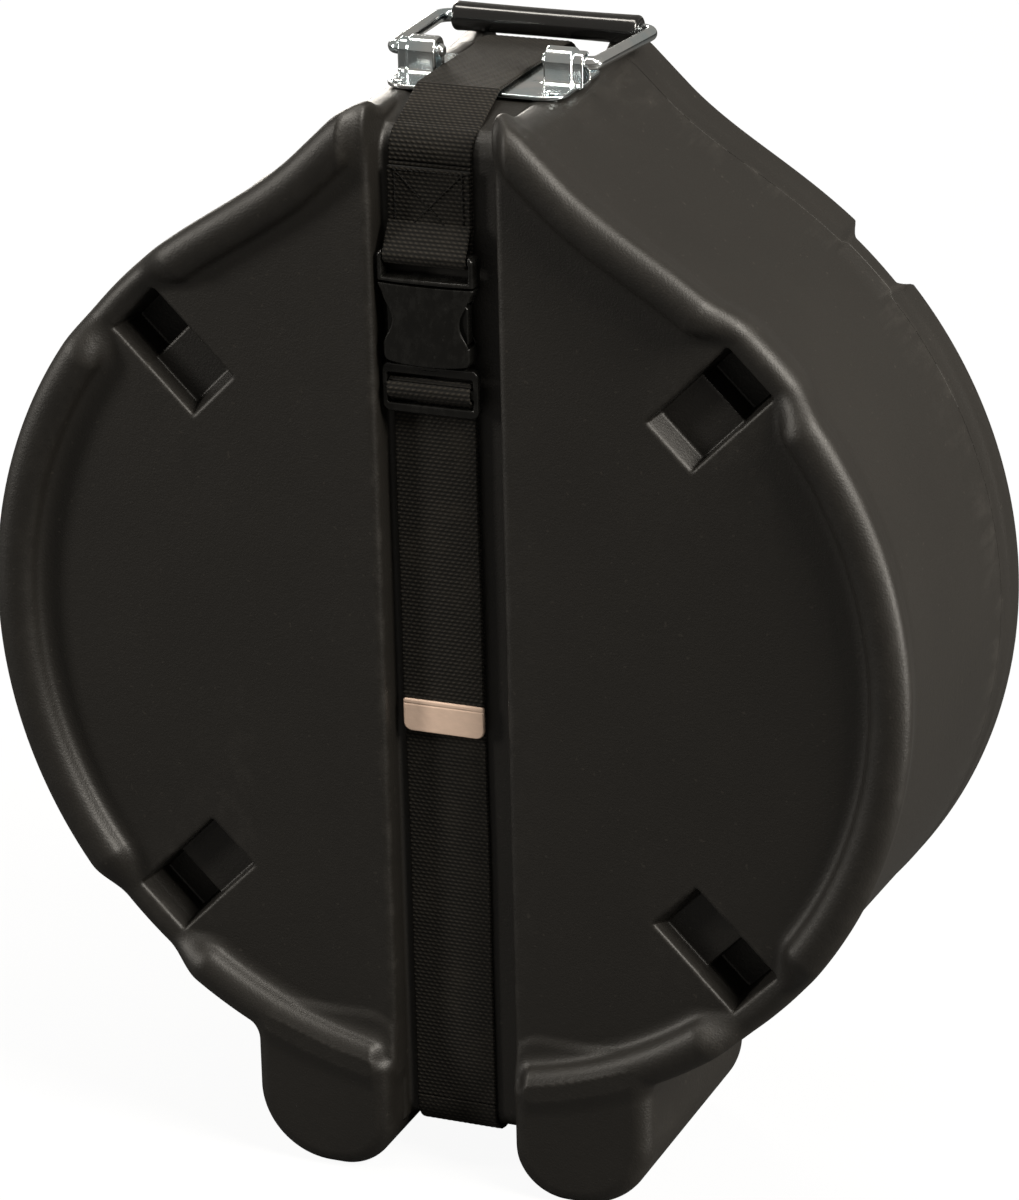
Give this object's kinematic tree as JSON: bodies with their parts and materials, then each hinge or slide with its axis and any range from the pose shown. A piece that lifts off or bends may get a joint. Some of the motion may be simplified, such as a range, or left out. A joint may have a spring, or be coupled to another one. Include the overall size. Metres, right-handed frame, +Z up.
{
  "type": "drum case",
  "caption": "Round moulded drum case standing on edge, with feet, a folding wire handle and a buckled webbing strap round its middle.",
  "frame": {"origin": "on the surface the case stands on, under the middle of its bounding box", "axes": "+Z up, +X to the right as seen from the front, +Y from the front face to the rear face"},
  "size_m": [0.424, 0.165, 0.5045],
  "materials": {
    "shell_plastic": "black moulded polyethylene with a satin grain",
    "zinc_plate": "bright zinc plated steel",
    "grip_vinyl": "glossy black vinyl sleeve",
    "webbing": "black woven polypropylene webbing",
    "buckle_plastic": "black satin acetal",
    "tip_plastic": "pale glossy moulded cap",
    "foam": "dark grey foam"
  },
  "bodies": {
    "root": {"front_shell": "shell_plastic", "handle_plate": "zinc_plate", "handle_rivet_1": "zinc_plate", "handle_rivet_2": "zinc_plate", "handle_rivet_3": "zinc_plate", "handle_rivet_4": "zinc_plate", "rivet_washer_1": "zinc_plate", "rivet_washer_2": "zinc_plate", "rivet_washer_3": "zinc_plate", "rivet_washer_4": "zinc_plate", "strap_front_lower": "webbing", "strap_tail": "webbing", "strap_tip": "tip_plastic", "buckle_plug": "buckle_plastic", "front_foam_left": "foam", "front_foam_right": "foam", "wall_liner_left": "foam", "wall_liner_right": "foam"},
    "rear_half": {"rear_shell": "shell_plastic", "rear_foam_left": "foam", "rear_foam_right": "foam", "strap_back_run": "webbing", "strap_top_run": "webbing", "strap_bottom_run": "webbing"},
    "bail": {"bail_wire": "zinc_plate", "bail_grip": "grip_vinyl"},
    "buckle_socket": {"buckle_housing": "buckle_plastic", "strap_front_upper": "webbing"},
    "left_prong": {"buckle_prong_left": "buckle_plastic"},
    "right_prong": {"buckle_prong_right": "buckle_plastic"}
  },
  "joints": [
    {"name": "rear_lift_off", "type": "slide", "parent": "root", "child": "rear_half", "axis": [0, 1, 0], "range_m": [0, 0.16], "deforming": ["strap_top_run", "strap_bottom_run"]},
    {"name": "bail_swing", "type": "hinge", "parent": "root", "child": "bail", "pos_m": [0, 0, 0.4983], "axis": [1, 0, 0], "range_deg": [0, 180]},
    {"name": "buckle_release", "type": "slide", "parent": "root", "child": "buckle_socket", "axis": [0, 0, 1], "range_m": [0, 0.033], "deforming": ["strap_front_upper", "buckle_prong_left", "buckle_prong_right"]},
    {"name": "left_prong_squeeze", "type": "hinge", "parent": "root", "child": "left_prong", "pos_m": [-0.0168, -0.065, 0.38], "axis": [0, 1, 0], "range_deg": [0, 7]},
    {"name": "right_prong_squeeze", "type": "hinge", "parent": "root", "child": "right_prong", "pos_m": [0.0068, -0.065, 0.38], "axis": [0, -1, 0], "range_deg": [0, 7]}
  ],
  "couplings": [
    {"joint": "right_prong_squeeze", "follows": "left_prong_squeeze", "ratio": 1}
  ]
}
